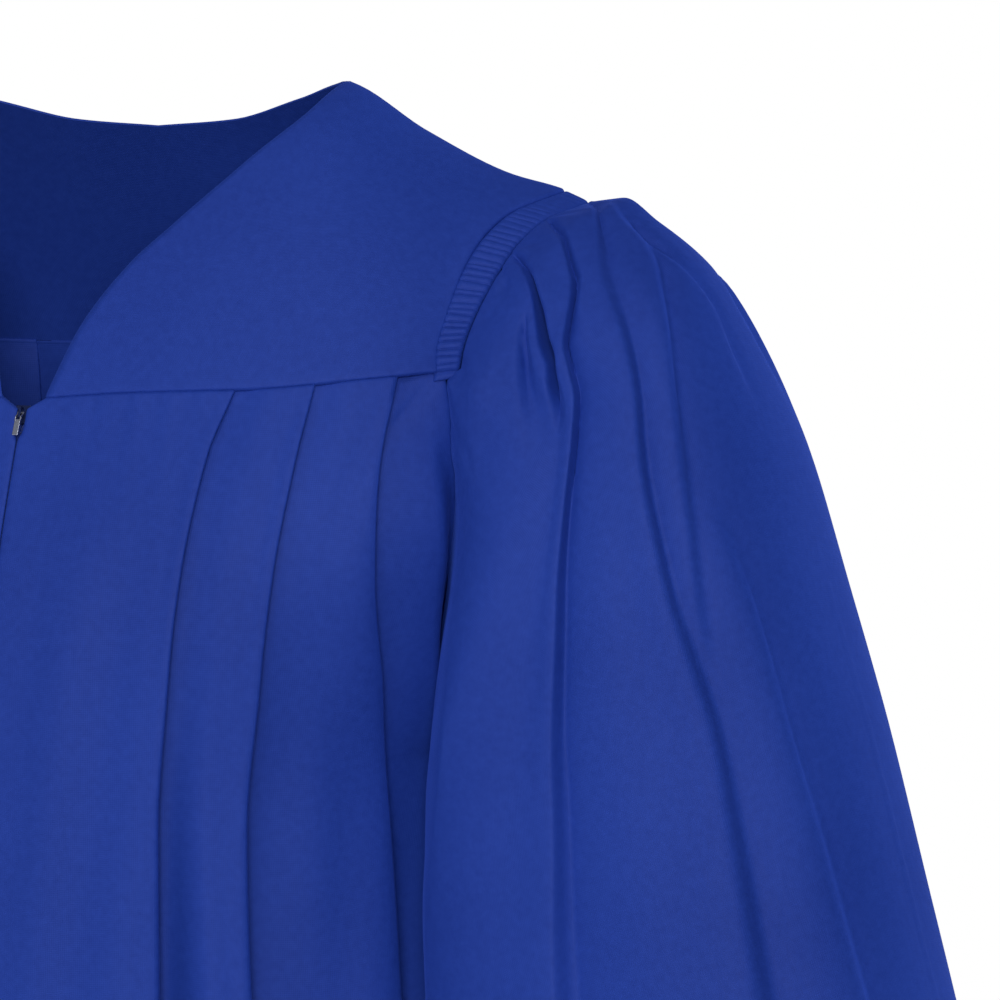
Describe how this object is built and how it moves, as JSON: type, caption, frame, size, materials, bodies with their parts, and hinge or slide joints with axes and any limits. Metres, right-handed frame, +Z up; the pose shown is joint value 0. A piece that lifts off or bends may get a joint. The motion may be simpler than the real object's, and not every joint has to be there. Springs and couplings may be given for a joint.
{
  "type": "graduation gown",
  "caption": "Full-length graduation gown, filled out as worn: plain yokes, fluted armhole bands, knife-pleated body, open bell sleeves and a front zip with a swinging pull tab.",
  "frame": {"origin": "middle of the neck, level with the side neck points, where the wearer's shoulders carry the gown", "axes": "+Z up, the gown's longest way; the wearer faces -Y; the wearer's left is +X"},
  "size_m": [0.8836, 0.4872, 1.3006],
  "materials": {
    "gown_cloth": "matte woven polyester, royal blue",
    "zip_tape": "woven polyester zip tape",
    "zip_slider": "lacquered zinc",
    "zip_pull": "satin zinc"
  },
  "bodies": {
    "gown": {"front_yoke_left": "gown_cloth", "front_yoke_right": "gown_cloth", "back_yoke": "gown_cloth", "front_left": "gown_cloth", "front_right": "gown_cloth", "back": "gown_cloth", "fluting_left": "gown_cloth", "fluting_right": "gown_cloth", "sleeve_left": "gown_cloth", "sleeve_right": "gown_cloth", "zip_tape_left": "zip_tape", "zip_tape_right": "zip_tape", "zip_slider": "zip_slider"},
    "pull_tab": {"zip_pull": "zip_pull"}
  },
  "joints": [
    {"name": "pull_swing", "type": "hinge", "parent": "gown", "child": "pull_tab", "pos_m": [0, -0.10714, -0.1389], "axis": [-1, 0, 0], "range_deg": [0, 150]}
  ]
}
